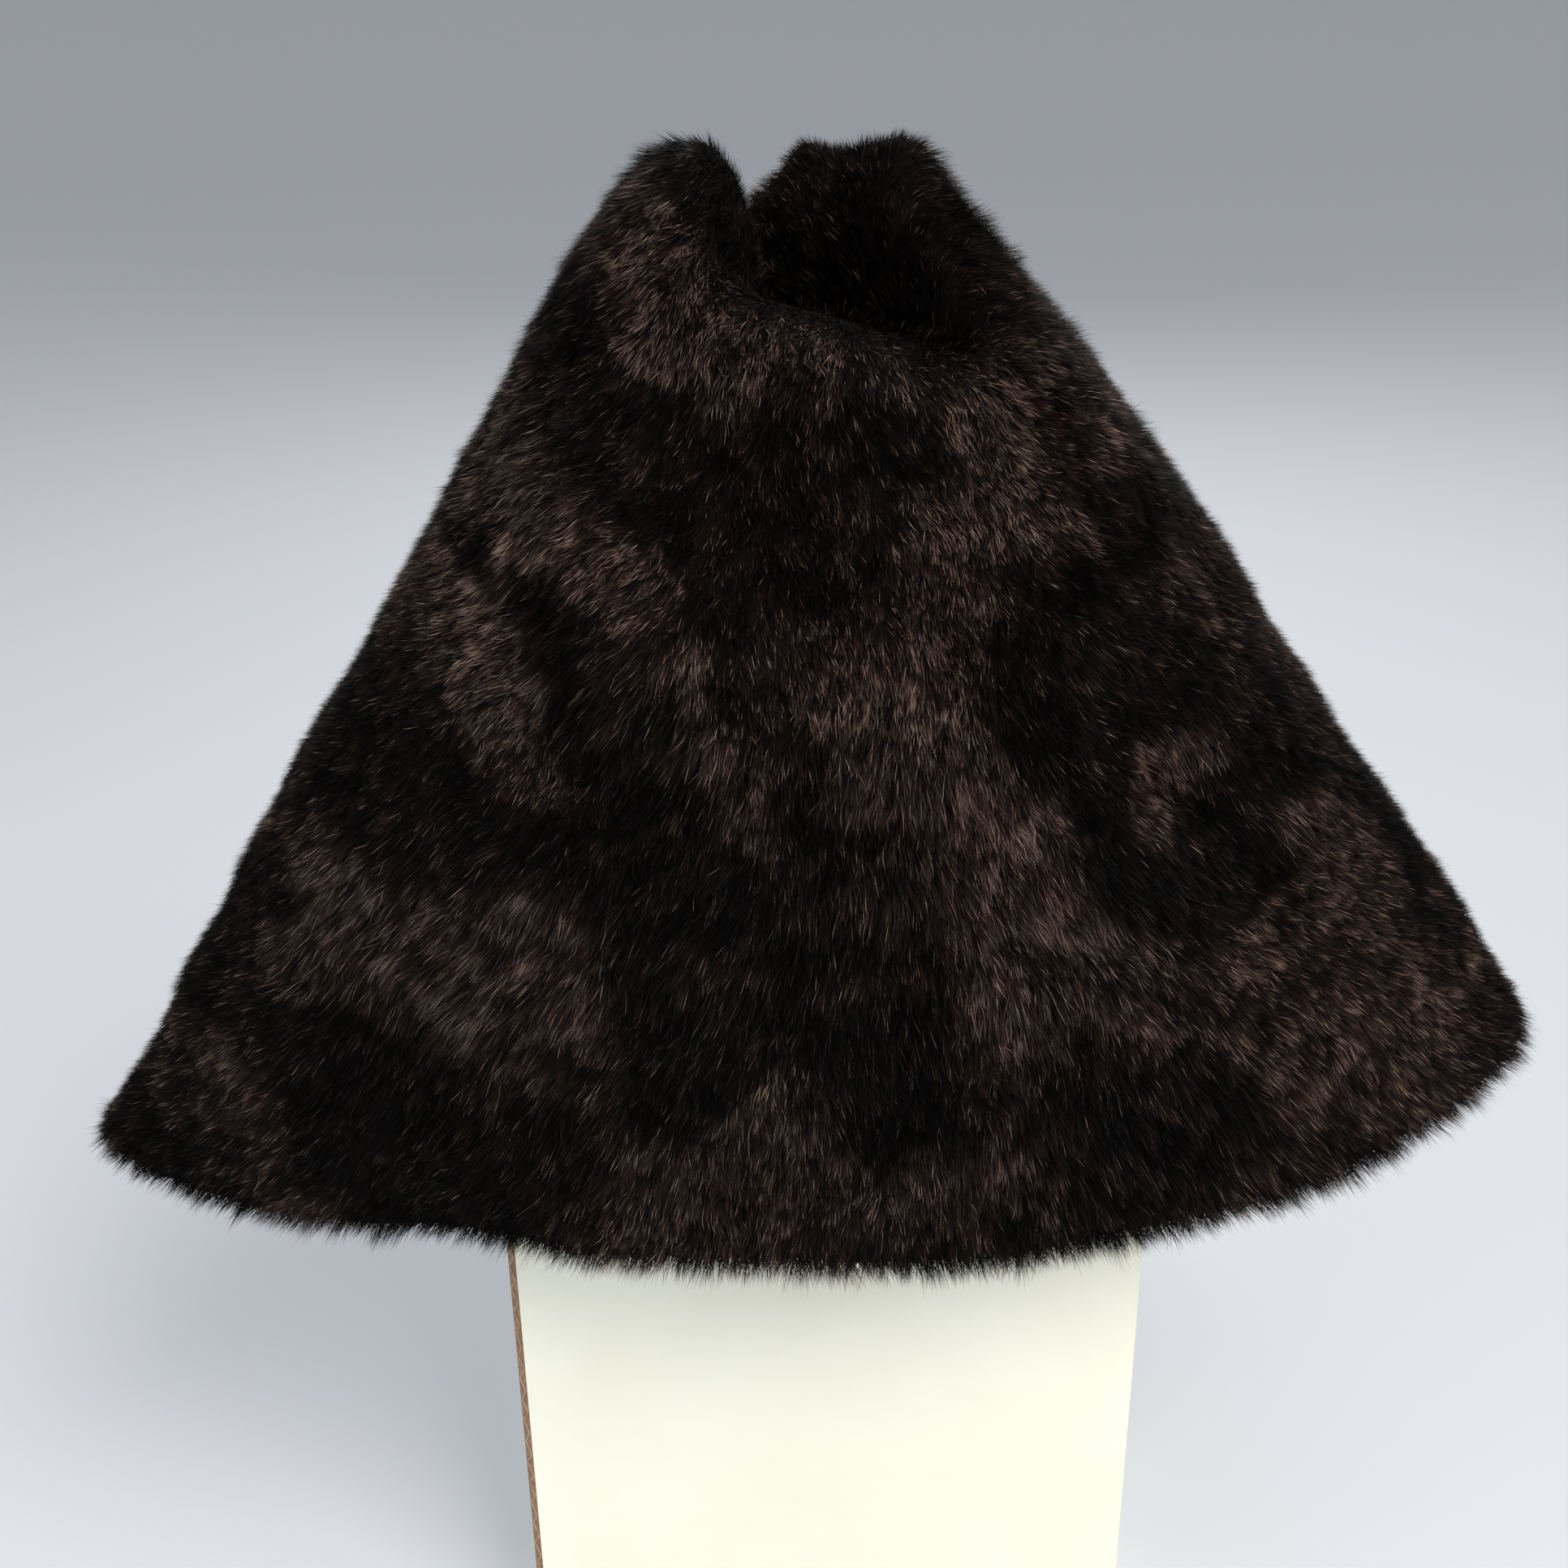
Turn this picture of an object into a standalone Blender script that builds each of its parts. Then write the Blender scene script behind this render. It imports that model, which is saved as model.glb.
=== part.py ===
# A steep fur hat with no band or brim, its tip pushed down into itself, pulled over a plain upright carton.
# Metres, +Z up. The origin is the middle of the carton's base, and the hat's front faces -Y.
# The hat is a skin wall under a coat of fur. Both follow one surface: a flattened cone that rises from
# the rim to a wavy ridge, rolls over it and runs down into the hollow that the pushed-in tip leaves.

import math

import bmesh
import bpy
from mathutils import Vector

CARTON_WIDTH = 0.147
CARTON_DEPTH = 0.044
CARTON_HEIGHT = 0.270
BOARD = 0.003
FOLD_RADIUS = 0.0012
RAW_EDGE = 0.0020
FLAP_SLIT = 0.0015

WALL = 0.0025
COAT_GAP = 0.0003
PILE = 0.0090
CROWN_PILE = 0.0080
DENT_PILE = 0.0070
COAT_DROP = 0.0060
LOCK_STEP = 0.0038
CROWN_LOCK_SHARE = 0.4
SEAT_CLEARANCE = 0.0023
SEAT_LEVELS = (0.03, 0.17)
SEAT_HALVINGS = 40

RIDGE_RADIUS = 0.0028
DENT_FLOOR = 0.132
DENT_X = 0.002
SLOPE_STEP = 0.01
FRONT_ANGLE = 270

WALL_COLUMNS = 40
WALL_ROWS = 12
COAT_COLUMNS = 80
COAT_ROWS = 28
ROWS_PER_LOCK = 4
COLUMNS_PER_LOCK = 4
RIDGE_TURNS = (45, 90, 135, 180)
DENT_TURNS = (22, 42, 60, 76)

# Outline of the fur from the front, the side and the top. Heights are above the middle of the rim, and the
# reaches are from the carton's middle plane. A power of 2 is an ellipse, less is a lens and more is a box.
SECTION_COLUMNS = ("height", "left", "right", "front", "back", "left_power", "right_power")
SECTIONS = (
    (-0.022, 0.1800, 0.1885, 0.0665, 0.0625, 1.45, 1.75),
    (0.013, 0.1585, 0.1660, 0.0640, 0.0600, 1.50, 1.80),
    (0.051, 0.1350, 0.1415, 0.0600, 0.0560, 1.80, 1.95),
    (0.090, 0.1100, 0.1120, 0.0555, 0.0520, 2.40, 2.40),
    (0.125, 0.0865, 0.0868, 0.0500, 0.0480, 2.50, 2.50),
    (0.158, 0.0675, 0.0630, 0.0435, 0.0430, 2.10, 2.10),
    (0.190, 0.0485, 0.0375, 0.0380, 0.0380, 2.00, 2.00),
    (0.215, 0.0295, 0.0260, 0.0330, 0.0330, 2.00, 2.00),
)

# Heights round the hat above the middle of the rim, at angles that run from the right side over the back:
# the skin's rim, which sags at the front right, and the fur's ridge round the crown. There the left front
# stands in a peak, the back has a notch and the front right is pressed down.
ROUND_COLUMNS = ("angle", "height")
RIM = (
    (0, 0.0205),
    (40, 0.0165),
    (90, 0.0072),
    (140, -0.0020),
    (180, -0.0051),
    (215, -0.0030),
    (240, -0.0003),
    (262, 0.0045),
    (280, 0.0034),
    (305, 0.0100),
    (322, 0.0180),
)
RIDGE = (
    (8, 0.196),
    (28, 0.205),
    (48, 0.207),
    (70, 0.204),
    (88, 0.198),
    (103, 0.180),
    (122, 0.192),
    (150, 0.201),
    (190, 0.204),
    (215, 0.207),
    (234, 0.197),
    (250, 0.185),
    (276, 0.179),
    (305, 0.174),
    (335, 0.181),
)

# Soft folds and hollows, each along a line on the front (-1) or the back (1), from x1, z1 to x2, z2,
# with heights above the middle of the rim. Rise is outward, so a hollow's is negative.
FOLD_COLUMNS = ("face", "x1", "z1", "x2", "z2", "width", "rise")
FOLDS = (
    (-1, -0.058, 0.148, -0.036, 0.124, 0.009, 0.0035),
    (-1, -0.036, 0.124, -0.010, 0.080, 0.010, 0.0050),
    (-1, -0.056, 0.124, -0.028, 0.086, 0.011, -0.0060),
    (-1, -0.040, 0.066, -0.028, 0.040, 0.012, -0.0040),
    (-1, 0.036, 0.108, 0.058, 0.074, 0.010, 0.0035),
    (-1, 0.050, 0.104, 0.078, 0.066, 0.011, -0.0045),
    (-1, 0.064, 0.130, 0.112, 0.076, 0.008, -0.0035),
    (-1, 0.076, 0.134, 0.124, 0.076, 0.007, 0.0025),
    (-1, 0.002, 0.080, 0.012, 0.034, 0.012, -0.0045),
    (-1, -0.096, 0.044, -0.072, 0.010, 0.018, -0.0070),
    (-1, -0.016, 0.156, -0.008, 0.140, 0.014, -0.0030),
    (-1, 0.066, 0.040, 0.110, 0.018, 0.020, 0.0035),
    (-1, -0.128, 0.030, -0.104, 0.066, 0.016, 0.0030),
    (1, -0.040, 0.130, -0.006, 0.060, 0.013, -0.0050),
    (1, -0.018, 0.128, 0.018, 0.050, 0.013, 0.0040),
    (1, 0.046, 0.120, 0.070, 0.040, 0.013, -0.0050),
    (1, -0.090, 0.070, -0.100, 0.015, 0.018, 0.0050),
    (1, 0.088, 0.052, 0.124, 0.010, 0.017, 0.0045),
)
FOLD_FADE = 0.020


def named_rows(columns, table):
    return [dict(zip(columns, row)) for row in table]


SECTION_ROWS = named_rows(SECTION_COLUMNS, SECTIONS)
RIM_ROWS = named_rows(ROUND_COLUMNS, RIM)
RIDGE_ROWS = named_rows(ROUND_COLUMNS, RIDGE)
FOLD_ROWS = named_rows(FOLD_COLUMNS, FOLDS)


def hermite(before, start, end, after, part):
    """Smooth value between start and end, with slopes from the values on either side."""
    slope_in = (end - before) / 2
    slope_out = (after - start) / 2
    square, cube = part**2, part**3
    return (
        start * (2 * cube - 3 * square + 1)
        + slope_in * (cube - 2 * square + part)
        + end * (3 * square - 2 * cube)
        + slope_out * (cube - square)
    )


def section_at(height, name):
    rows = SECTION_ROWS
    index = 0
    while index < len(rows) - 2 and height > rows[index + 1]["height"]:
        index += 1
    low, high = rows[index], rows[index + 1]
    part = (height - low["height"]) / (high["height"] - low["height"])
    before = rows[max(index - 1, 0)][name]
    after = rows[min(index + 2, len(rows) - 1)][name]
    return hermite(before, low[name], high[name], after, part)


def round_height(rows, angle):
    """Smooth value of a table of heights round the hat, at an angle in degrees."""
    turn = (angle - rows[0]["angle"]) % 360
    steps = [(row["angle"] - rows[0]["angle"]) % 360 for row in rows] + [360]
    index = max(i for i in range(len(rows)) if steps[i] <= turn)
    part = (turn - steps[index]) / (steps[index + 1] - steps[index])
    values = [rows[(index + shift) % len(rows)]["height"] for shift in (-1, 0, 1, 2)]
    return hermite(*values, part)


def rim_height(angle):
    return round_height(RIM_ROWS, angle)


def ridge_height(angle):
    """Top of the skin's ridge; the crown's pile stands above it."""
    return round_height(RIDGE_ROWS, angle) - CROWN_PILE


def skin_inset(height, name):
    """How far the skin lies inside the fur's outline, along X for the sides and Y for the faces."""
    lean = section_at(height - SLOPE_STEP, name) - section_at(height + SLOPE_STEP, name)
    lean /= 2 * SLOPE_STEP
    return (PILE + COAT_GAP + WALL / 2) * math.hypot(1, lean)


def skin_reach(height, name):
    return section_at(height, name) - skin_inset(height, name)


def skin_section(height):
    """Middle, half width, front and back reach of the skin at a height."""
    left, right = skin_reach(height, "left"), skin_reach(height, "right")
    return (right - left) / 2, (right + left) / 2, skin_reach(height, "front"), skin_reach(height, "back")


def fold_rise(x, y, height):
    rise = 0.0
    for fold in FOLD_ROWS:
        if fold["face"] * y <= 0:
            continue
        along_x, along_z = fold["x2"] - fold["x1"], fold["z2"] - fold["z1"]
        part = (x - fold["x1"]) * along_x + (height - fold["z1"]) * along_z
        part = min(max(part / (along_x**2 + along_z**2), 0), 1)
        away = math.hypot(x - fold["x1"] - part * along_x, height - fold["z1"] - part * along_z)
        rise += fold["rise"] * math.exp(-((away / fold["width"]) ** 2))
    return rise * min(abs(y) / FOLD_FADE, 1)


def side_point(angle, height):
    """A point of the skin's side at an angle in degrees and a height above the middle of the rim."""
    middle, half, front, back = skin_section(height)
    across, deep = math.cos(math.radians(angle)), math.sin(math.radians(angle))
    power = section_at(height, "left_power" if across < 0 else "right_power")
    reach = front if deep < 0 else back
    x = middle + half * math.copysign(abs(across) ** (2 / power), across)
    y = reach * math.copysign(abs(deep) ** (2 / power), deep)
    facing = Vector((across / half, deep / reach, 0)).normalized()
    return Vector((x, y, height)) + facing * fold_rise(x, y, height)


def ridge_start(angle):
    return side_point(angle, ridge_height(angle) - RIDGE_RADIUS)


def rise_point(angle, part):
    """Part 0 is the skin's rim and 1 is the start of its ridge."""
    low, high = rim_height(angle), ridge_height(angle) - RIDGE_RADIUS
    return side_point(angle, low + (high - low) * part)


def ridge_point(angle, turn):
    """The skin rolls over the ridge from turn 0, on the outside, to 180."""
    start = ridge_start(angle)
    inward = Vector((DENT_X - start.x, -start.y, 0)).normalized()
    turn = math.radians(turn)
    rise = Vector((0, 0, RIDGE_RADIUS * math.sin(turn)))
    return start + inward * RIDGE_RADIUS * (1 - math.cos(turn)) + rise


def dent_point(angle, turn):
    """The skin runs down from the ridge, at turn 0, to the bottom of the hollow, at 90."""
    start = ridge_point(angle, 180)
    bottom = Vector((DENT_X, 0, DENT_FLOOR))
    turn = math.radians(turn)
    flat = bottom.lerp(start, math.cos(turn))
    return Vector((flat.x, flat.y, start.z + (bottom.z - start.z) * math.sin(turn)))


def seat_level():
    """The highest level above the rim's middle at which the carton's corners fit inside the skin."""
    low, high = SEAT_LEVELS
    for _ in range(SEAT_HALVINGS):
        level = (low + high) / 2
        middle, half, front, back = skin_section(level)
        half, deep = half - SEAT_CLEARANCE, min(front, back) - SEAT_CLEARANCE
        power = section_at(level, "left_power")
        wide = CARTON_WIDTH / 2 + abs(middle)
        inside = (wide / half) ** power + (CARTON_DEPTH / 2 / deep) ** power < 1
        low, high = (level, high) if inside else (low, level)
    return low


RIM_LEVEL = CARTON_HEIGHT - seat_level()


def skin_rings(columns, rises):
    """Rings of points from the rim up, over the ridge and into the hollow, and the hollow's bottom."""
    angles = [360 * index / columns for index in range(columns)]
    rings = [[rise_point(angle, part) for angle in angles] for part in rises]
    rings += [[ridge_point(angle, turn) for angle in angles] for turn in RIDGE_TURNS]
    rings += [[dent_point(angle, turn) for angle in angles] for turn in DENT_TURNS]
    lift = Vector((0, 0, RIM_LEVEL))
    rings = [[point + lift for point in ring] for ring in rings]
    return rings, Vector((DENT_X, 0, DENT_FLOOR)) + lift


def skin_sheet(columns, rises):
    """The skin as an open sheet, lofted through its rings, with faces pointing out."""
    sheet = bmesh.new()
    rings, bottom = skin_rings(columns, rises)
    loops = [[sheet.verts.new(point) for point in ring] for ring in rings]
    for low, high in zip(loops, loops[1:]):
        for index in range(columns):
            after = (index + 1) % columns
            sheet.faces.new((low[index], low[after], high[after], high[index]))
    pole = sheet.verts.new(bottom)
    for index in range(columns):
        sheet.faces.new((loops[-1][index], loops[-1][(index + 1) % columns], pole))
    bmesh.ops.triangulate(sheet, faces=sheet.faces, quad_method="FIXED")
    sheet.normal_update()
    return sheet, loops, pole


def new_material(name, colour, roughness):
    material = bpy.data.materials.new(name)
    material.use_nodes = True
    shader = material.node_tree.nodes["Principled BSDF"]
    shader.inputs["Base Color"].default_value = (*colour, 1)
    shader.inputs["Roughness"].default_value = roughness
    shader.inputs["Metallic"].default_value = 0
    return material


def new_object(name, mesh, collection, material=None):
    made = bpy.data.objects.new(name, mesh)
    collection.objects.link(made)
    if material:
        mesh.materials.append(material)
    return made


def mesh_of(shape, name):
    mesh = bpy.data.meshes.new(name)
    shape.to_mesh(mesh)
    shape.free()
    return mesh


def make_wall(collection):
    rises = [row / WALL_ROWS for row in range(WALL_ROWS + 1)]
    sheet, _, _ = skin_sheet(WALL_COLUMNS, rises)
    wall = new_object(
        "hat_wall", mesh_of(sheet, "hat_wall"), collection, new_material("pelt", (0.05, 0.035, 0.028), 0.85)
    )
    thick = wall.modifiers.new("thickness", "SOLIDIFY")
    thick.thickness = WALL
    thick.offset = 0
    wall.data.shade_smooth()


def lock_dip(column, row):
    """How far the coat sinks below its full pile: locks thicken to pointed tips and overlap like tiles."""
    point = abs(column % COLUMNS_PER_LOCK - COLUMNS_PER_LOCK // 2)
    place = (row - point) % ROWS_PER_LOCK
    step = LOCK_STEP * (1 - (1 - CROWN_LOCK_SHARE) * row / COAT_ROWS)
    return step * place / (ROWS_PER_LOCK - 1)


def make_coat(collection):
    """Locks of fur fused to a backing that lies on the wall's outer side."""
    inner_rises = [row / WALL_ROWS for row in range(WALL_ROWS + 1)]
    inner, inner_loops, inner_pole = skin_sheet(WALL_COLUMNS, inner_rises)
    below = -COAT_DROP / (ridge_height(FRONT_ANGLE) - rim_height(FRONT_ANGLE))
    outer_rises = [below + (1 - below) * row / COAT_ROWS for row in range(COAT_ROWS + 1)]
    outer, outer_loops, outer_pole = skin_sheet(COAT_COLUMNS, outer_rises)

    backing = WALL / 2 + COAT_GAP
    moved = {vertex: vertex.co + vertex.normal * backing for vertex in inner.verts}
    for vertex, place in moved.items():
        vertex.co = place
    moved = {outer_pole: outer_pole.co + outer_pole.normal * (backing + DENT_PILE)}
    ridge_row = len(outer_rises)
    dent_row = ridge_row + len(RIDGE_TURNS)
    for row, loop in enumerate(outer_loops):
        pile = PILE if row < ridge_row else CROWN_PILE if row < dent_row else DENT_PILE
        for column, vertex in enumerate(loop):
            length = pile - (lock_dip(column, row) if 0 < row < ridge_row else 0)
            moved[vertex] = vertex.co + vertex.normal * (backing + length)
    for vertex, place in moved.items():
        vertex.co = place

    coat = bmesh.new()
    copies = {}
    for sheet, flip in ((inner, True), (outer, False)):
        for vertex in sheet.verts:
            copies[vertex] = coat.verts.new(vertex.co)
        for face in sheet.faces:
            corners = [copies[vertex] for vertex in face.verts]
            coat.faces.new(reversed(corners) if flip else corners)
    near = [copies[vertex] for vertex in inner_loops[0]]
    far = [copies[vertex] for vertex in outer_loops[0]]
    share = COAT_COLUMNS // WALL_COLUMNS
    for index in range(WALL_COLUMNS):
        start, end = near[index], near[(index + 1) % WALL_COLUMNS]
        for step in range(share):
            first = index * share + step
            pivot = start if step < share / 2 else end
            coat.faces.new((pivot, far[(first + 1) % COAT_COLUMNS], far[first]))
            if step == share // 2 - 1:
                coat.faces.new((start, end, far[(first + 1) % COAT_COLUMNS]))
    coat.normal_update()
    inner.free()
    outer.free()
    fur = new_object(
        "fur_coat", mesh_of(coat, "fur_coat"), collection, new_material("fur", (0.018, 0.011, 0.009), 0.75)
    )
    fur.data.shade_smooth()


def block(name, size, middle, collection):
    shape = bmesh.new()
    bmesh.ops.create_cube(shape, size=1)
    bmesh.ops.scale(shape, vec=size, verts=shape.verts)
    bmesh.ops.translate(shape, vec=middle, verts=shape.verts)
    return new_object(name, mesh_of(shape, name), collection)


def cut(body, cutter):
    cutter.hide_render = True
    cutter.display_type = "WIRE"
    difference = body.modifiers.new(cutter.name, "BOOLEAN")
    difference.operation = "DIFFERENCE"
    difference.object = cutter


def at_front_left(edge):
    return all(
        vertex.co.x < FOLD_RADIUS - CARTON_WIDTH / 2 and vertex.co.y < FOLD_RADIUS - CARTON_DEPTH / 2
        for vertex in edge.verts
    )


def make_carton(collection, cutters):
    """A closed carton whose top flaps meet in a slit. The front panel ends in a raw edge at the left."""
    shape = bmesh.new()
    bmesh.ops.create_cube(shape, size=1)
    bmesh.ops.scale(shape, vec=(CARTON_WIDTH, CARTON_DEPTH, CARTON_HEIGHT), verts=shape.verts)
    bmesh.ops.translate(shape, vec=(0, 0, CARTON_HEIGHT / 2), verts=shape.verts)
    upright = [edge for edge in shape.edges if abs(edge.verts[0].co.z - edge.verts[1].co.z) > BOARD]
    folded = [edge for edge in upright if not at_front_left(edge)]
    bmesh.ops.bevel(shape, geom=folded, offset=FOLD_RADIUS, segments=2, profile=0.5, affect="EDGES")
    raw = [edge for edge in shape.edges if at_front_left(edge)]
    bmesh.ops.bevel(shape, geom=raw, offset=RAW_EDGE, segments=1, profile=0.5, affect="EDGES")
    board = new_material("white_board", (0.9, 0.88, 0.8), 0.6)
    carton = new_object("carton_stand", mesh_of(shape, "carton_stand"), collection, board)
    inside = (CARTON_WIDTH - 2 * BOARD, CARTON_DEPTH - 2 * BOARD, CARTON_HEIGHT - 2 * BOARD)
    cut(carton, block("carton_inside", inside, (0, 0, CARTON_HEIGHT / 2), cutters))
    slit = (CARTON_WIDTH - 4 * BOARD, FLAP_SLIT, 4 * BOARD)
    cut(carton, block("flap_slit", slit, (0, 0, CARTON_HEIGHT), cutters))


def main():
    for old in list(bpy.data.objects):
        bpy.data.objects.remove(old)
    parts = bpy.data.collections.new("fur_hat_on_carton")
    cutters = bpy.data.collections.new("cutters")
    for collection in (parts, cutters):
        bpy.context.scene.collection.children.link(collection)
    make_wall(parts)
    make_coat(parts)
    make_carton(parts, cutters)


main()
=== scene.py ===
# Looks of a steep fur hat on a plain white carton: pile hair by hair, pelt, board, light and camera.
# Metres, +Z up, the hat's front towards -Y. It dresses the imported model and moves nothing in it.

import math

import bmesh
import bpy
import numpy as np
from mathutils import Matrix, Vector, noise
from mathutils.bvhtree import BVHTree
from mathutils.kdtree import KDTree


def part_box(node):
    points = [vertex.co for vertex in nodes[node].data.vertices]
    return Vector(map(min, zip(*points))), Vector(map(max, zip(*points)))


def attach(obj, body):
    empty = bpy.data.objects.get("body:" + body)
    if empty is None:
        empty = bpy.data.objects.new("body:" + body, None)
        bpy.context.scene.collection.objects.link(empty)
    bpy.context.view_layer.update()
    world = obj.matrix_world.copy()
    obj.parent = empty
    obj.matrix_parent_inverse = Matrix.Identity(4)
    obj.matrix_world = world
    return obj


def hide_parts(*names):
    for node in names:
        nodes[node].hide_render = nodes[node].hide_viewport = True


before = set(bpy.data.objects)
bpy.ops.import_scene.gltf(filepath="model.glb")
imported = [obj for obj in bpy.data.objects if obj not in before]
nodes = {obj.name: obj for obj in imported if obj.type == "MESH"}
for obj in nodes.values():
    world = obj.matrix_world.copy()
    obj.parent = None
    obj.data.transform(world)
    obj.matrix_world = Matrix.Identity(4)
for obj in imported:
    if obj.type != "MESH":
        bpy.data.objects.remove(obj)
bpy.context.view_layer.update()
rimLevel = 0.1631  # middle of the hat's rim, from which the heights below are measured
print("frame loaded")


# Camera at the photograph's viewing angle

camera = {"place": (-0.008, -0.320, 0.3641), "lens": 36.0, "sensor": 36.0, "pitch": 21.1, "roll": 0.79}
photoSide = 1932  # pixels along each side of the photograph


def makeCamera():
    data = bpy.data.cameras.new("camera")
    data.lens = camera["lens"]
    data.sensor_width = camera["sensor"]
    data.clip_start = 0.01
    made = bpy.data.objects.new("camera", data)
    bpy.context.scene.collection.objects.link(made)
    tilt = Matrix.Rotation(math.radians(90 - camera["pitch"]), 4, "X")
    roll = Matrix.Rotation(math.radians(-camera["roll"]), 4, "Z")
    made.matrix_world = Matrix.Translation(camera["place"]) @ tilt @ roll
    bpy.context.scene.camera = made


makeCamera()


# Helpers for meshes and materials


def linkPiece(name, mesh, material):
    made = bpy.data.objects.new(name, mesh)
    bpy.context.scene.collection.objects.link(made)
    mesh.materials.append(material)
    return made


def newMaterial(name, **settings):
    material = bpy.data.materials.new(name)
    material.use_nodes = True
    shader = material.node_tree.nodes["Principled BSDF"]
    for socket, value in settings.items():
        shader.inputs[socket.replace("_", " ")].default_value = value
    return material, material.node_tree, shader


def addNode(tree, kind, **values):
    node = tree.nodes.new(kind)
    for name, value in values.items():
        socket = name.replace("_", " ")
        if socket in node.inputs:
            node.inputs[socket].default_value = value
        else:
            setattr(node, name, value)
    return node


def addRamp(tree, source, stops):
    ramp = addNode(tree, "ShaderNodeValToRGB")
    points = ramp.color_ramp.elements
    while len(points) < len(stops):
        points.new(0.5)
    for point, (place, colour) in zip(points, stops):
        point.position = place
        point.color = (*colour, 1)
    tree.links.new(source, ramp.inputs["Fac"])
    return ramp


def addBump(tree, shader, height, strength, distance):
    bump = addNode(tree, "ShaderNodeBump", Strength=strength, Distance=distance)
    tree.links.new(height, bump.inputs["Height"])
    tree.links.new(bump.outputs["Normal"], shader.inputs["Normal"])
    return bump


def addMix(tree, kind, first, second, factor=1.0):
    mix = addNode(tree, "ShaderNodeMix", data_type="RGBA", blend_type=kind)
    mix.inputs[0].default_value = factor
    for slot, value in ((6, first), (7, second)):
        if isinstance(value, tuple):
            mix.inputs[slot].default_value = (*value, 1)
        else:
            tree.links.new(value, mix.inputs[slot])
    return mix


def lumps(points, size, seed):
    # a smooth value from -1 to 1 for each point, in lumps of about that size
    shift = Vector((seed * 7.31, seed * 3.17, seed * 5.93))
    return np.array([noise.noise(Vector(point) / size + shift) for point in points])


def stepUp(values, start, over):
    part = np.clip((values - start) / over, 0, 1)
    return part * part * (3 - 2 * part)


def unit(vectors):
    return vectors / np.maximum(np.linalg.norm(vectors, axis=1, keepdims=True), 1e-9)


def dots(first, second):
    return (first * second).sum(1, keepdims=True)


# Under-fur: the coat's own form, with its locks smoothed out and drawn in to where the hairs start

underFur = {
    "nearWall": 0.0025,
    "rounds": 9,
    "relax": 0.5,
    "recover": -0.52,
    "drawnIn": -0.0004,
    "crownDrawnIn": 0.0014,
    "lumpSize": 0.016,
    "lumpHeight": 0.0011,
}

# Tufts that stand up along the ridge of the crown
tuftColumns = ("x", "y", "z", "radius", "rise")
tufts = (
    (-0.0140, 0.0250, 0.349, 0.009, 0.0135),
    (-0.004, 0.0235, 0.364, 0.006, 0.0065),
    (0.000, 0.023, 0.366, 0.006, 0.0035),
    (0.022, 0.011, 0.367, 0.006, 0.0045),
    (0.016, 0.010, 0.369, 0.006, 0.0025),
    (-0.0195, -0.014, 0.369, 0.006, 0.0025),
    (-0.030, -0.009, 0.368, 0.007, 0.0020),
)


def mergedShape(node):
    shape = bmesh.new()
    shape.from_mesh(nodes[node].data)
    bmesh.ops.remove_doubles(shape, verts=shape.verts, dist=1e-5)
    shape.normal_update()
    return shape


def makeUnderFur():
    wall = mergedShape("hat_wall")
    tree = BVHTree.FromBMesh(wall)
    shape = mergedShape("fur_coat")
    outside = shape.verts.layers.float.new("outside")
    outer = [vert for vert in shape.verts if tree.find_nearest(vert.co)[3] > underFur["nearWall"]]
    for vert in outer:
        vert[outside] = 1
    bmesh.ops.join_triangles(
        shape, faces=shape.faces, angle_face_threshold=3.14, angle_shape_threshold=3.14
    )
    sides = [vert for vert in outer if all(edge.other_vert(vert)[outside] for edge in vert.link_edges)]
    for factor in (underFur["relax"], underFur["recover"]) * underFur["rounds"]:
        bmesh.ops.smooth_vert(
            shape, verts=sides, factor=factor, use_axis_x=True, use_axis_y=True, use_axis_z=True
        )
    shape.normal_update()
    heights = lumps([vert.co for vert in outer], underFur["lumpSize"], 1) * underFur["lumpHeight"]
    crown = stepUp(np.array([vert.co.z for vert in outer]), rimLevel + 0.125, 0.045)
    heights -= underFur["drawnIn"] * (1 - crown) + underFur["crownDrawnIn"] * crown
    places = [vert.co + vert.normal * height for vert, height in zip(outer, heights)]
    for vert, place in zip(outer, places):
        vert.co = place
        for row in tufts:
            tuft = dict(zip(tuftColumns, row))
            away = (place - Vector((tuft["x"], tuft["y"], tuft["z"]))).length
            vert.co.z += tuft["rise"] * math.exp(-((away / tuft["radius"]) ** 2))
    mesh = bpy.data.meshes.new("under_fur")
    shape.to_mesh(mesh)
    wall.free()
    shape.free()
    mesh.shade_smooth()
    material, nodeTree, shader = newMaterial("underFur", Roughness=0.9, Specular_IOR_Level=0.05)
    spots = addNode(nodeTree, "ShaderNodeTexNoise", Scale=180.0, Detail=4.0)
    place = addNode(nodeTree, "ShaderNodeTexCoord")
    nodeTree.links.new(place.outputs["Object"], spots.inputs["Vector"])
    stops = ((0.3, (0.0012, 0.0009, 0.0008)), (0.8, (0.0050, 0.0036, 0.0030)))
    shade = addRamp(nodeTree, spots.outputs["Fac"], stops)
    nodeTree.links.new(shade.outputs["Color"], shader.inputs["Base Color"])
    addBump(nodeTree, shader, spots.outputs["Fac"], 0.8, 0.002)
    piece = linkPiece("under_fur", mesh, material)
    smooth = piece.modifiers.new("smooth", "SUBSURF")
    smooth.levels = smooth.render_levels = 1
    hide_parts("fur_coat")
    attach(piece, "root")
    return piece


underFurPiece = makeUnderFur()
print("under-fur made")


# How the hair lies: fields over the surface that the hairs start from

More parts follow.
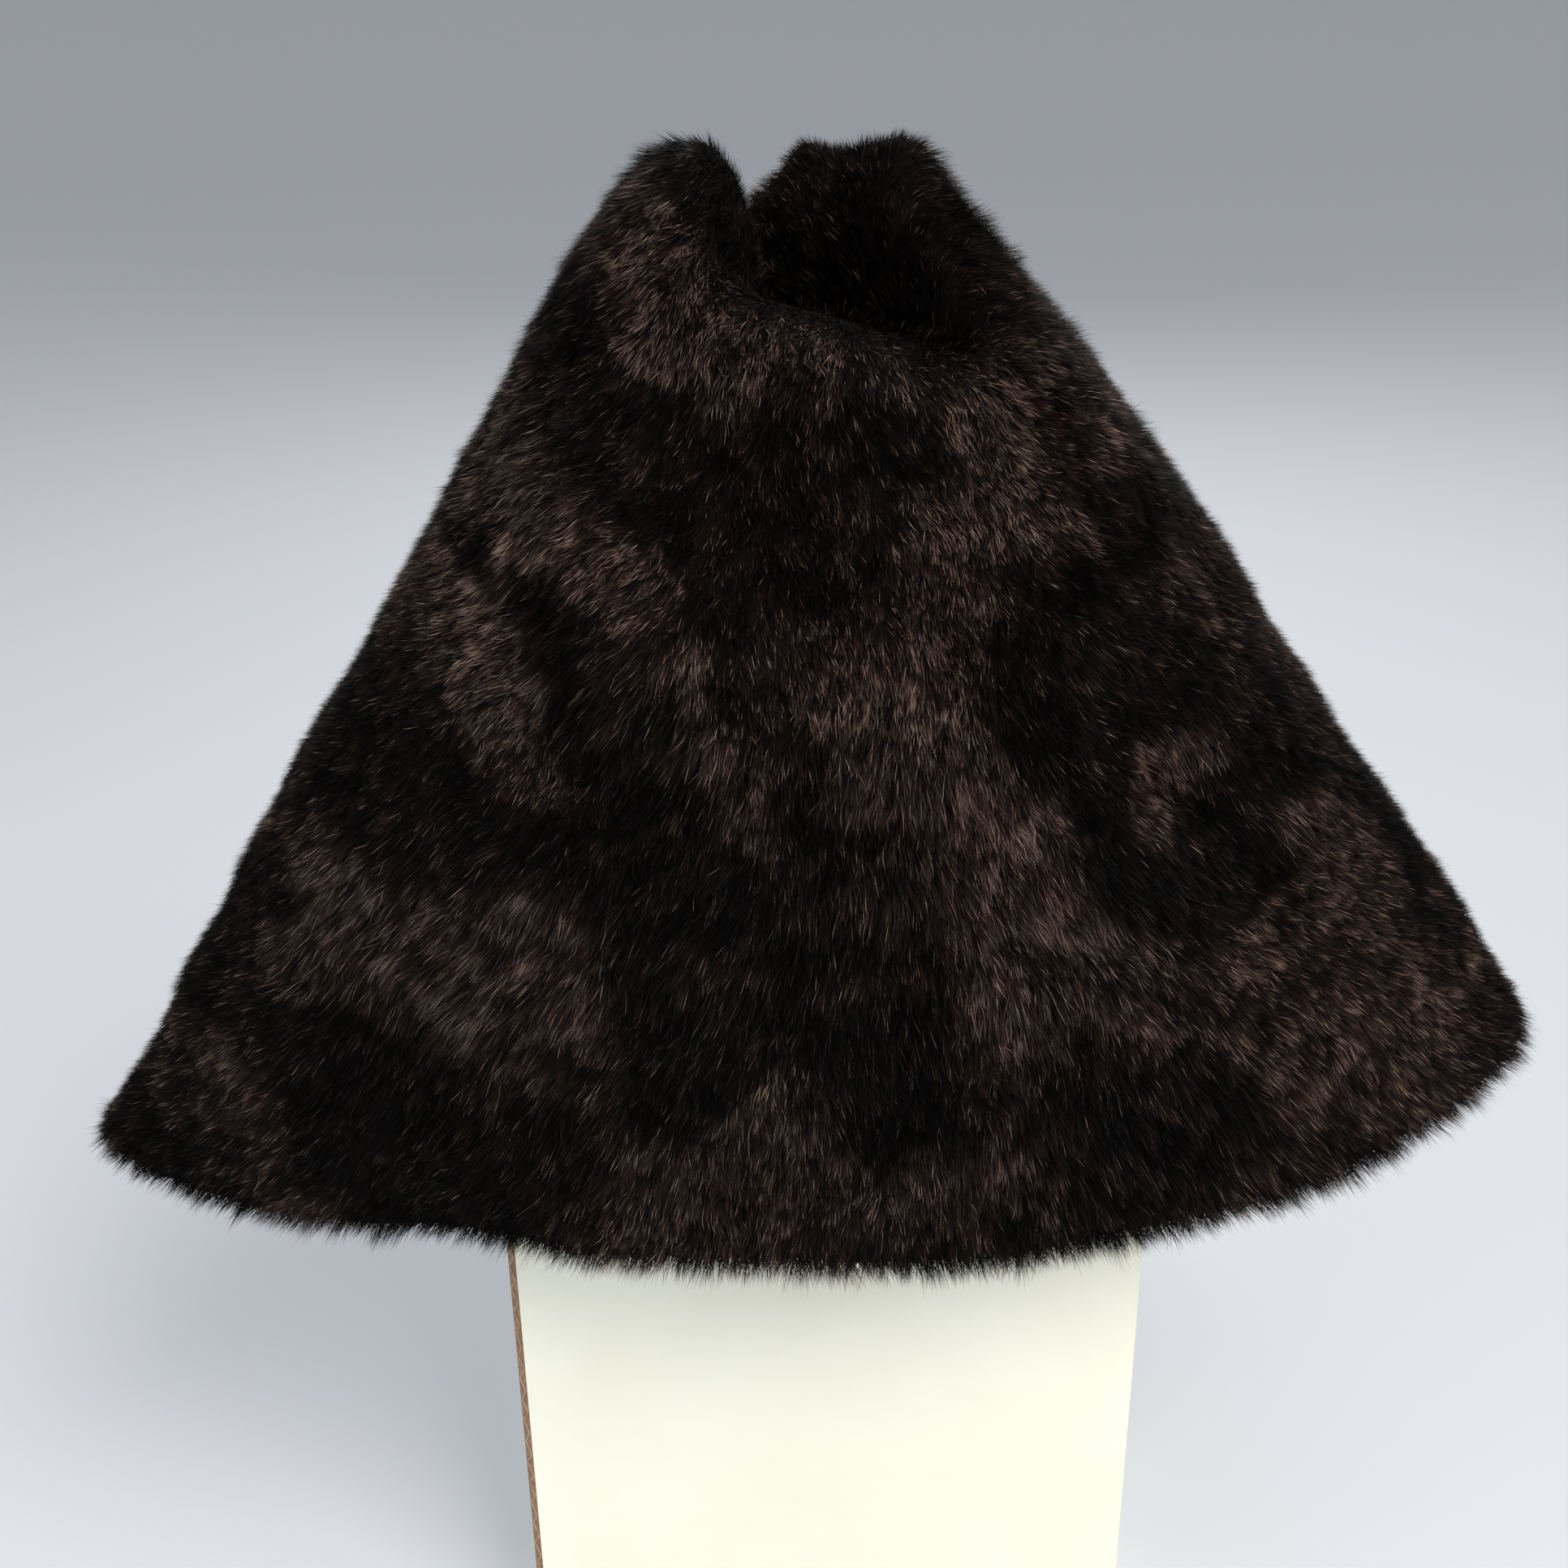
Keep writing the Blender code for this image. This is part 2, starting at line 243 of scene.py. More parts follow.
lay = {
    "apex": 0.25,
    "fanOut": 1.7,
    "crownFrom": 0.150,
    "crownOver": 0.030,
    "dentX": 0.002,
    "turn": 30,
    "turnSize": 0.030,
    "fineTurn": 18,
    "fineTurnSize": 0.010,
    "lift": 37,
    "liftSpread": 13,
    "liftSize": 0.014,
    "crownLift": 6,
    "lipLift": -14,
    "tuftSize": 0.008,
    "tuftLength": 0.9,
    "rimLength": 0.8,
    "dentLength": 0.70,
    "tone": 0.355,
    "toneReach": 0.27,
    # painted light: how much lighter the pile is painted towards the top
    "paintedLightRise": 0.8,
    "toneSpread": 0.34,
    "toneSize": 0.024,
    "mottles": ((0.0085, 0.20), (0.0045, 0.20)),
    "ragged": ((0.011, 0.004), (0.005, 0.003)),
    # painted shade inside the pushed-in dent
    "dentShade": -0.16,
    # painted shade on the crown's crest: darker at its back and right, a little darker along the front lip
    "ridgeShade": -0.16,
    "lipShade": -0.08,
    "lipLength": 0.15,
    "frontShare": 0.2,
    # how strongly the painted sheen and painted shade patches count on the front
    "patchShare": 1.1,
    "patchSize": 0.75,
    "patchOver": 0.004,
    "patchDrop": 0.0018,
}

# Painted sheen and painted shade: in the patches below, the pile's tone is painted lighter where it would
# catch the light and darker where it would lie in shade.
# Patches of the front where the pile lies with the light or against it. Each runs along a line between two
# pixels of the photograph, and the script works out where on the fur they lie.
patchColumns = ("name", "x1", "y1", "x2", "y2", "radius", "tone")
paintedLightPatches = (
    ("peak face", 800, 300, 880, 345, 0.016, 0.26),
    ("peak foot", 770, 430, 830, 395, 0.014, 0.24),
    ("lip band left", 905, 415, 1000, 425, 0.017, 0.21),
    ("lip band right", 1000, 425, 1125, 435, 0.016, 0.21),
    ("right shoulder", 1225, 440, 1260, 600, 0.022, 0.30),
    ("right shoulder foot", 1200, 620, 1290, 655, 0.018, 0.28),
    ("right slope", 1300, 420, 1370, 520, 0.014, 0.14),
    ("left upper", 640, 545, 655, 640, 0.016, 0.24),
    ("long ridge top", 680, 620, 790, 730, 0.012, 0.26),
    ("long ridge middle", 790, 730, 880, 900, 0.010, 0.26),
    ("long ridge foot", 880, 900, 955, 1040, 0.009, 0.24),
    ("left patch", 560, 735, 620, 820, 0.018, 0.28),
    ("left patch tail", 620, 840, 660, 930, 0.013, 0.14),
    ("middle high", 1040, 780, 1180, 800, 0.016, 0.12),
    ("middle", 1080, 860, 1180, 960, 0.020, 0.18),
    ("middle low", 1190, 960, 1270, 1030, 0.015, 0.24),
    ("middle top", 1080, 700, 1200, 720, 0.012, 0.12),
    ("mottle high", 1220, 1090, 1300, 1130, 0.015, 0.16),
    ("mottle", 1300, 1120, 1400, 1230, 0.018, 0.18),
    ("mottle low", 1190, 1190, 1260, 1260, 0.014, 0.12),
    ("curl stem", 1400, 1010, 1420, 945, 0.011, 0.24),
    ("curl top", 1420, 945, 1490, 915, 0.010, 0.20),
    ("right low inner", 1560, 1180, 1680, 1240, 0.024, 0.18),
    ("right low outer", 1690, 1130, 1790, 1240, 0.020, 0.20),
    ("right low foot", 1560, 1290, 1780, 1320, 0.018, 0.22),
    ("right edge", 1610, 1010, 1690, 1100, 0.013, 0.18),
    ("right slant", 1440, 700, 1530, 860, 0.008, 0.14),
    ("bottom", 800, 1500, 1050, 1500, 0.022, 0.12),
    ("bottom high", 870, 1420, 1000, 1400, 0.018, 0.10),
    ("bottom right", 1150, 1430, 1230, 1470, 0.014, 0.12),
    ("left low", 420, 1110, 560, 1200, 0.024, 0.14),
    ("left low inner", 600, 1130, 700, 1230, 0.020, 0.12),
    ("left low outer", 360, 1200, 430, 1170, 0.016, 0.10),
    ("left strip", 290, 1310, 330, 1420, 0.010, 0.14),
    ("left strip foot", 430, 1520, 330, 1460, 0.008, 0.10),
    ("peak flank", 890, 210, 925, 290, 0.010, -0.26),
    ("peak hollow", 715, 390, 745, 440, 0.014, -0.26),
    ("under peak", 690, 470, 735, 480, 0.012, -0.16),
    ("lap", 790, 500, 890, 520, 0.016, -0.24),
    ("lap middle", 900, 560, 960, 590, 0.014, -0.30),
    ("lap right", 1000, 490, 1110, 530, 0.016, -0.22),
    ("lap low", 960, 650, 1050, 720, 0.014, -0.16),
    ("lap left", 760, 560, 850, 640, 0.012, -0.16),
    ("right dark top", 1270, 700, 1370, 760, 0.016, -0.30),
    ("right dark", 1260, 800, 1350, 880, 0.018, -0.26),
    ("right dark foot", 1310, 900, 1380, 1040, 0.014, -0.24),
    ("under curl", 1400, 1080, 1500, 1140, 0.014, -0.28),
    ("beside curl", 1490, 990, 1560, 1060, 0.016, -0.30),
    ("right slant dark", 1380, 620, 1480, 800, 0.009, -0.24),
    ("right slant low", 1490, 810, 1590, 930, 0.011, -0.28),
    ("right slant top", 1330, 560, 1380, 620, 0.008, -0.18),
    ("right spot", 1750, 1130, 1800, 1180, 0.010, -0.22),
    ("left dark", 440, 900, 560, 1000, 0.024, -0.28),
    ("left dark foot", 500, 1040, 600, 1060, 0.014, -0.12),
    ("valley top", 590, 670, 690, 740, 0.010, -0.26),
    ("valley high", 700, 780, 800, 860, 0.014, -0.32),
    ("valley", 730, 900, 860, 1000, 0.018, -0.34),
    ("valley foot", 740, 1020, 900, 1090, 0.016, -0.30),
    ("valley edge", 820, 800, 870, 1000, 0.009, -0.22),
    ("middle dark", 890, 720, 960, 900, 0.012, -0.14),
    ("middle dark foot", 960, 960, 1010, 1060, 0.012, -0.18),
    ("low dark left", 780, 1110, 800, 1200, 0.014, -0.26),
    ("low dark foot", 820, 1250, 850, 1340, 0.015, -0.30),
    ("low dark top", 960, 1100, 1040, 1200, 0.014, -0.20),
    ("low dark", 1000, 1230, 1110, 1370, 0.017, -0.32),
    ("low dark right", 1120, 1180, 1150, 1280, 0.011, -0.18),
    ("left low dark", 400, 1260, 470, 1330, 0.020, -0.32),
    ("left foot dark", 450, 1400, 560, 1470, 0.022, -0.32),
    ("left foot inner", 560, 1350, 700, 1420, 0.016, -0.22),
    ("left rim", 180, 1400, 250, 1440, 0.014, -0.18),
    ("left flank", 240, 1200, 320, 1100, 0.014, -0.16),
    ("right low dark", 1330, 1360, 1450, 1420, 0.016, -0.20),
    ("right foot dark", 1500, 1330, 1540, 1380, 0.010, -0.12),
    ("right edge dark", 1680, 950, 1750, 1060, 0.008, -0.28),
    ("right low spot", 1625, 1190, 1640, 1210, 0.008, -0.24),
    ("mottle spot", 1355, 1260, 1370, 1275, 0.009, -0.24),
    ("mottle foot spot", 1400, 1340, 1395, 1400, 0.010, -0.24),
    ("right rim", 1250, 1500, 1350, 1490, 0.010, -0.14),
)


def rootSurface(piece):
    # triangles that the hairs start from, finer than the piece, with the fields at their corners
    smooth = piece.modifiers["smooth"]
    smooth.levels = 2
    shown = piece.evaluated_get(bpy.context.evaluated_depsgraph_get())
    mesh = shown.to_mesh()
    mesh.calc_loop_triangles()
    count = len(mesh.vertices)
    points = np.zeros(count * 3, np.float32)
    mesh.vertices.foreach_get("co", points)
    normals = np.zeros(count * 3, np.float32)
    mesh.vertices.foreach_get("normal", normals)
    outside = np.zeros(count, np.float32)
    mesh.attributes["outside"].data.foreach_get("value", outside)
    corners = np.zeros(len(mesh.loop_triangles) * 3, np.int32)
    mesh.loop_triangles.foreach_get("vertices", corners)
    shown.to_mesh_clear()
    smooth.levels = 1
    corners = corners.reshape(-1, 3)
    corners = corners[(outside[corners] > 0.45).all(1)]
    return points.reshape(-1, 3).astype(float), normals.reshape(-1, 3).astype(float), corners


def combing(points, normals):
    # the pile runs from the pushed-in tip up its hollow, over the ridge and down the sides
    fan = points - np.array((0, 0, rimLevel + lay["apex"]))
    fan[:, 0] *= lay["fanOut"]
    fan = unit(fan - dots(fan, normals) * normals)
    outward = points - np.array((lay["dentX"], 0, 0))
    outward[:, 2] = 0
    outward = unit(outward)
    over = outward * normals[:, 2:] - np.array((0, 0, 1)) * dots(normals, outward)
    over = unit(over - dots(over, normals) * normals)
    crown = stepUp(points[:, 2:], rimLevel + lay["crownFrom"], lay["crownOver"])
    comb = unit(fan * (1 - crown) + over * crown)
    turn = lumps(points, lay["turnSize"], 2) * lay["turn"]
    turn += lumps(points, lay["fineTurnSize"], 3) * lay["fineTurn"]
    turn = np.radians(turn)[:, None]
    return comb * np.cos(turn) + np.cross(normals, comb) * np.sin(turn), dots(normals, outward)[:, 0]


def placeOnFur(outside, pixelX, pixelY):
    # across and up, where the line of sight through a pixel of the photograph meets the fur
    seen = bpy.context.scene.camera.matrix_world
    reach = camera["lens"] / camera["sensor"] * photoSide
    sight = seen.to_3x3() @ Vector((pixelX - photoSide / 2, photoSide / 2 - pixelY, -reach))
    met = outside.ray_cast(seen.translation, sight.normalized())[0]
    return met.x, met.z - rimLevel - lay["patchDrop"]


def placePaintedLight(points, normals, corners):
    outside = BVHTree.FromPolygons((points + normals * lay["patchOver"]).tolist(), corners.tolist())
    placed = []
    for row in paintedLightPatches:
        patch = dict(zip(patchColumns, row))
        startX, startZ = placeOnFur(outside, patch["x1"], patch["y1"])
        endX, endZ = placeOnFur(outside, patch["x2"], patch["y2"])
        line = {"x": startX, "z": startZ, "alongX": endX - startX, "alongZ": endZ - startZ}
        placed.append(line | {"radius": patch["radius"] * lay["patchSize"], "tone": patch["tone"]})
    return placed


# The hairs' tone: random clouds and mottles of tone, with painted shade in the dent, painted sheen and
# shade patches on the front and painted light towards the top.
def toneOf(points, facing, inDent, placed):
    cloud = lumps(points, lay["toneSize"], 4) * np.where(facing < 0, lay["frontShare"], 1)
    # random clouds of tone, plus painted shade inside the pushed-in dent
    tone = cloud * lay["toneSpread"] + inDent * lay["dentShade"]
    across, height = points[:, 0].copy(), points[:, 2] - rimLevel
    for number, (size, shift) in enumerate(lay["ragged"]):  # the patches get ragged edges
        across += lumps(points, size, 12 + number) * shift
        height += lumps(points, size, 16 + number) * shift
    total, weights = np.zeros(len(points)), np.full(len(points), 1e-6)
    for patch in placed:  # where patches meet, the nearer one wins
        alongX, alongZ = patch["alongX"], patch["alongZ"]
        part = (across - patch["x"]) * alongX + (height - patch["z"]) * alongZ
        part = np.clip(part / (alongX**2 + alongZ**2), 0, 1)
        away = np.hypot(across - patch["x"] - part * alongX, height - patch["z"] - part * alongZ)
        strength = np.exp(-((away / patch["radius"]) ** 3))
        total += strength**13 * patch["tone"]
        weights += strength**12
    # the painted sheen and painted shade patches, on the front only
    front = stepUp(-facing - points[:, 1] * 20, -0.1, 0.3) * (1 - inDent)
    tone += front * lay["patchShare"] * total / weights
    tone = lay["tone"] + lay["toneReach"] * np.tanh(tone / lay["toneReach"])
    # painted light: the pile is painted lighter towards the top
    tone += (points[:, 2] - rimLevel - 0.09) * lay["paintedLightRise"]
    for number, (size, spread) in enumerate(lay["mottles"]):
        tone += lumps(points, size, 8 + number) * spread
    return tone


def surfaceFields(piece):
    points, normals, corners = rootSurface(piece)
    comb, outwards = combing(points, normals)
    high = stepUp(points[:, 2], rimLevel + 0.130, 0.020)
    inDent = high * stepUp(-outwards, -0.05, 0.35)
    onRidge = high * stepUp(normals[:, 2], 0.3, 0.4)
    away = np.maximum(stepUp(points[:, 1], -0.006, 0.012), stepUp(points[:, 0], 0.012, 0.008))
    tone = toneOf(points, normals[:, 1], inDent, placePaintedLight(points, normals, corners))
    # painted shade along the crown's crest: darker at its back and right, a little darker along the front
    # lip
    tone += onRidge * (away * lay["ridgeShade"] + (1 - away) * lay["lipShade"])
    lift = lay["lift"] + lumps(points, lay["liftSize"], 6) * lay["liftSpread"]
    lift += onRidge * (away * lay["crownLift"] + (1 - away) * lay["lipLift"])
    length = 1 - inDent * (1 - lay["dentLength"]) + stepUp(-normals[:, 2], -0.3, 0.4) * lay["rimLength"]
    length += onRidge * np.maximum(lumps(points, lay["tuftSize"], 7), -0.1) * lay["tuftLength"]
    length += onRidge * (1 - away) * lay["lipLength"]
    columns = [points, normals, comb, tone[:, None], lift[:, None], length[:, None]]
    return np.concatenate(columns, axis=1), corners


fields, rootCorners = surfaceFields(underFurPiece)
print("lay of the pile worked out over", len(rootCorners), "triangles")


def sampleSurface(count, rng):
    # the fields at random places spread evenly over the area
    corners = fields[rootCorners]
    sides = corners[:, 1:, :3] - corners[:, :1, :3]
    areas = np.linalg.norm(np.cross(sides[:, 0], sides[:, 1]), axis=1)
    picked = rng.choice(len(areas), count, p=areas / areas.sum())
    first, second = np.sqrt(rng.random(count)), rng.random(count)
    shares = np.stack([1 - first, first * (1 - second), first * second], axis=1)
    found = (corners[picked] * shares[:, :, None]).sum(1)
    found[:, 3:6] = unit(found[:, 3:6])
    found[:, 6:9] = unit(found[:, 6:9] - dots(found[:, 6:9], found[:, 3:6]) * found[:, 3:6])
    return found


# Locks: neighbouring hairs share a turn, a lift and a tone, and draw together towards their tips

locks = {
    "count": 26000,
    "turn": 10,
    "lift": 7,
    "tone": 0.08,
    "length": 0.10,
    "drawFrom": 0.15,
    "drawTo": 0.65,
}


def makeLocks():
    rng = np.random.default_rng(21)
    found = sampleSurface(locks["count"], rng)
    tree = KDTree(len(found))
    for index, row in enumerate(found):
        tree.insert(row[:3], index)
    tree.balance()
    size = len(found)
    return tree, {
        "roots": found[:, :3],
        "turn": rng.normal(0, locks["turn"], size),
        "lift": rng.normal(0, locks["lift"], size),
        "tone": rng.normal(0, locks["tone"], size),
        "length": 1 + rng.normal(0, locks["length"], size),
        "draw": rng.uniform(locks["drawFrom"], locks["drawTo"], size),
    }


lockTree, lockRows = makeLocks()


def growHairs(hair, rng):
    # hairs as arrays: roots, tips, the width's direction, normals and tones
    found = sampleSurface(hair["count"], rng)
    place, normal, comb = found[:, :3], found[:, 3:6], found[:, 6:9]
    near = np.array([lockTree.find(row)[1] for row in place])
    size = len(found)
    turn = np.radians(lockRows["turn"][near] + rng.normal(0, hair["turn"], size))[:, None]
    lift = found[:, 10] + hair["lift"] + lockRows["lift"][near]
    lift = np.radians(lift + rng.normal(0, hair["liftSpread"], size))[:, None]
    length = hair["length"] * found[:, 11] * lockRows["length"][near] * rng.uniform(0.78, 1.12, size)
    lies = comb * np.cos(turn) + np.cross(normal, comb) * np.sin(turn)
    root = place - normal * hair["sunk"]
    pull = lockRows["roots"][near] - place
    pull -= dots(pull, normal) * normal
    pull *= (lockRows["draw"][near] * hair["draw"])[:, None]
    tip = root + (lies * np.cos(lift) + normal * np.sin(lift)) * length[:, None] + pull
    along = unit(tip - root)
    flat = unit(np.cross(along, normal))
    facing = unit(np.cross(flat, along))
    twist = np.radians(rng.uniform(-hair["twist"], hair["twist"], size))[:, None]
    width = flat * np.cos(twist) + facing * np.sin(twist)
    shown = unit(facing * np.cos(twist / 2) - flat * np.sin(twist / 2))
    tone = found[:, 9] + lockRows["tone"][near] + rng.normal(0, hair["toneSpread"], size)
    # painted glints: a share of the hairs get a pale tip, painted on as a highlight
    paintedGlint = (rng.random(size) < hair["paintedGlintShare"]) * hair["paintedGlint"]
    rows = {"place": place, "root": root, "tip": tip, "width": width}
    return rows | {"facing": shown, "tone": tone, "paintedGlint": paintedGlint}


def hairMesh(name, hairs, chosen, hair):
    # each hair is a flat blade, two corners at its root and one at its tip
    half = hairs["width"][chosen] * hair["width"] / 2
    root, tone = hairs["root"][chosen], hairs["tone"][chosen]
    count = len(root)
    verts = np.stack([root - half, root + half, hairs["tip"][chosen]], axis=1)
    # the tip's tone, with the painted glint added on
    ends = tone * hair["tipTone"] + hairs["paintedGlint"][chosen]
    tones = np.stack([tone * hair["rootTone"], tone * hair["rootTone"], ends], axis=1)
    mesh = bpy.data.meshes.new(name)
    mesh.vertices.add(count * 3)
    mesh.vertices.foreach_set("co", verts.astype(np.float32).ravel())
    mesh.loops.add(count * 3)
    mesh.loops.foreach_set("vertex_index", np.arange(count * 3, dtype=np.int32))
    mesh.polygons.add(count)
    mesh.polygons.foreach_set("loop_start", np.arange(0, count * 3, 3, dtype=np.int32))
    mesh.update(calc_edges=True)
    shade = mesh.attributes.new("tone", "FLOAT", "POINT")
    shade.data.foreach_set("value", tones.astype(np.float32).ravel())
    mesh.shade_smooth()
    facing = np.repeat(hairs["facing"][chosen], 3, axis=0)
    mesh.normals_split_custom_set_from_vertices(facing.tolist())
    return mesh


# Hair materials: near black at the root, brown and greyish towards the tip, in warmer and cooler areas,
# with painted sheen making the side towards +X warmer

hairColours = {
    "stops": (
        (0.0, (0.0006, 0.0005, 0.0005)),
        (0.22, (0.0022, 0.0018, 0.0017)),
        (0.45, (0.0150, 0.0106, 0.0092)),
        (0.70, (0.056, 0.0380, 0.0310)),
        # the palest stop, reached mostly by the tips with painted glints
        (1.0, (0.36, 0.280, 0.240)),
    ),
    "warm": (1.09, 0.925, 0.86),
    "cool": (1.035, 0.965, 0.885),
    "areaScale": 34.0,
    # painted sheen: how much warmer the tint gets towards +X, the lit side
    "litSideWarmth": 1.7,
}


def hairMaterial(name, roughness, gloss):
    material, tree, shader = newMaterial(name, Roughness=roughness, Specular_IOR_Level=gloss)
    tone = addNode(tree, "ShaderNodeAttribute", attribute_name="tone")
    ramp = addRamp(tree, tone.outputs["Fac"], hairColours["stops"])
    place = addNode(tree, "ShaderNodeTexCoord")
    areas = addNode(tree, "ShaderNodeTexNoise", Scale=hairColours["areaScale"], Detail=2.0)
    tree.links.new(place.outputs["Object"], areas.inputs["Vector"])
    across = addNode(tree, "ShaderNodeSeparateXYZ")
    tree.links.new(place.outputs["Object"], across.inputs["Vector"])
    warmth = addNode(tree, "ShaderNodeMath", operation="MULTIPLY_ADD")  # painted sheen: warmer towards +X, the lit side
    tree.links.new(across.outputs["X"], warmth.inputs[0])
    warmth.inputs[1].default_value = hairColours["litSideWarmth"]
    tree.links.new(areas.outputs["Fac"], warmth.inputs[2])
    tint = addRamp(tree, warmth.outputs[0], ((0.28, hairColours["cool"]), (0.62, hairColours["warm"])))
    mix = addMix(tree, "MULTIPLY", ramp.outputs["Color"], tint.outputs["Color"])
    tree.links.new(mix.outputs[2], shader.inputs["Base Color"])
    return material


# Pile: the short dense hairs, in a piece for each side and two for the crown

pile = {
    "count": 810000,
    "length": 0.0038,
    "width": 0.00015,
    "rootTone": 0.35,
    "tipTone": 1.15,
    "sunk": 0.0006,
    # painted glints: the share of hairs with a pale highlight painted on their tips, and how much paler
    "paintedGlintShare": 0.10,
    "paintedGlint": 0.28,
    "lift": 0,
    "liftSpread": 10,
    "turn": 9,
    "draw": 0.6,
    "twist": 40,
    "toneSpread": 0.15,
    "roughness": 0.48,
    "gloss": 0.03,
    "crownFrom": 0.118,
}


def makePile():
    hairs = growHairs(pile, np.random.default_rng(31))
    place = hairs["place"]
    crown = place[:, 2] > rimLevel + pile["crownFrom"]
    left, front = place[:, 0] < 0.004, place[:, 1] < 0
    areas = {
        "fur_crown_left": crown & left,
        "fur_crown_right": crown & ~left,
        "fur_front_left": ~crown & left & front,
        "fur_front_right": ~crown & ~left & front,
        "fur_back_left": ~crown & left & ~front,
        "fur_back_right": ~crown & ~left & ~front,
    }
    material = hairMaterial("pile", pile["roughness"], pile["gloss"])
    for name, chosen in areas.items():
        piece = linkPiece(name, hairMesh(name, hairs, np.flatnonzero(chosen), pile), material)
        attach(piece, "root")
        print(name, int(chosen.sum()), "hairs")


makePile()


# Guard hairs: sparse and a little wider than the pile, some with pale tips painted on as glints, a painted
# highlight

guard = {
    "count": 64000,
    "length": 0.0040,
    "width": 0.00018,
    "rootTone": 0.5,
    "tipTone": 1.3,
    "sunk": 0.0006,
    # painted glints: the share of hairs with a pale highlight painted on their tips, and how much paler
    "paintedGlintShare": 0.40,
    "paintedGlint": 0.62,
    "lift": 2,
    "liftSpread": 10,
    "turn": 11,
    "draw": 0.3,
    "twist": 50,
    "toneSpread": 0.12,
    "roughness": 0.34,
    "gloss": 0.1,
}


def makeGuardHairs():
    hairs = growHairs(guard, np.random.default_rng(41))
    material = hairMaterial("guardHair", guard["roughness"], guard["gloss"])
    mesh = hairMesh("guard_hairs", hairs, np.arange(guard["count"]), guard)
    piece = linkPiece("guard_hairs", mesh, material)
    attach(piece, "root")


makeGuardHairs()
print("guard hairs made")


# Pelt: the hat's wall, suede side inwards

pelt = {"dark": (0.030, 0.020, 0.016), "light": (0.062, 0.044, 0.035), "grain": 420.0, "cloud": 28.0}


def dressPelt():
    material, tree, shader = newMaterial("pelt", Roughness=0.92, Specular_IOR_Level=0.2)
    place = addNode(tree, "ShaderNodeTexCoord")
    cloud = addNode(tree, "ShaderNodeTexNoise", Scale=pelt["cloud"], Detail=5.0)
    grain = addNode(tree, "ShaderNodeTexNoise", Scale=pelt["grain"], Detail=3.0)
    for texture in (cloud, grain):
        tree.links.new(place.outputs["Object"], texture.inputs["Vector"])
    shade = addRamp(tree, cloud.outputs["Fac"], ((0.35, pelt["dark"]), (0.65, pelt["light"])))
    tree.links.new(shade.outputs["Color"], shader.inputs["Base Color"])
    addBump(tree, shader, grain.outputs["Fac"], 0.5, 0.0006)
    nodes["hat_wall"].data.materials.clear()
    nodes["hat_wall"].data.materials.append(material)


dressPelt()


# Board: the carton's white liner with the flutes' faint print-through, brown where the board is cut

board = {
    "liner": (0.93, 0.925, 0.78),
    "linerShade": (0.89, 0.88, 0.73),
    "kraft": (0.36, 0.22, 0.13),
    "kraftShade": (0.20, 0.115, 0.065),
    "flute": 0.0065,
    "cutWidth": 0.0019,
}


def dressBoard():
    low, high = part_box("carton_stand")
    material, tree, shader = newMaterial("whiteBoard", Roughness=0.62, Specular_IOR_Level=0.35)
    place = addNode(tree, "ShaderNodeTexCoord")
    cloud = addNode(tree, "ShaderNodeTexNoise", Scale=22.0, Detail=6.0)
    fibre = addNode(tree, "ShaderNodeTexNoise", Scale=900.0, Detail=2.0)
    waves = addNode(tree, "ShaderNodeTexWave", wave_type="BANDS", bands_direction="Z", Distortion=0.4)
    # the texture's bands repeat every pi/10 units at a scale of 1
    waves.inputs["Scale"].default_value = math.pi / 10 / board["flute"]
    for texture in (cloud, fibre, waves):
        tree.links.new(place.outputs["Object"], texture.inputs["Vector"])
    white = addRamp(tree, cloud.outputs["Fac"], ((0.30, board["linerShade"]), (0.62, board["liner"])))
    brown = addRamp(tree, fibre.outputs["Fac"], ((0.35, board["kraftShade"]), (0.65, board["kraft"])))
    parts = addNode(tree, "ShaderNodeSeparateXYZ")
    tree.links.new(place.outputs["Object"], parts.inputs["Vector"])
    corner = addNode(tree, "ShaderNodeMath", operation="ADD")
    tree.links.new(parts.outputs["X"], corner.inputs[0])
    tree.links.new(parts.outputs["Y"], corner.inputs[1])
    cut = addNode(tree, "ShaderNodeMath", operation="LESS_THAN")
    tree.links.new(corner.outputs[0], cut.inputs[0])
    cut.inputs[1].default_value = low.x + low.y + board["cutWidth"] + 0.0002
    mix = addMix(tree, "MIX", white.outputs["Color"], brown.outputs["Color"])
    tree.links.new(cut.outputs[0], mix.inputs[0])
    tree.links.new(mix.outputs[2], shader.inputs["Base Color"])
    heights = addNode(tree, "ShaderNodeMath", operation="MULTIPLY_ADD")
    tree.links.new(fibre.outputs["Fac"], heights.inputs[0])
    heights.inputs[1].default_value = 0.35
    tree.links.new(waves.outputs["Fac"], heights.inputs[2])
    addBump(tree, shader, heights.outputs[0], 0.06, 0.0004)
    nodes["carton_stand"].data.materials.clear()
    nodes["carton_stand"].data.materials.append(material)
    return low, high


boardLow, boardHigh = dressBoard()


# Flutes: the wavy middle sheet that shows along the cut edge at the front left

flutes = {"width": 0.0019, "thick": 0.00042, "proud": 0.00035, "samples": 10, "margin": 0.0015}


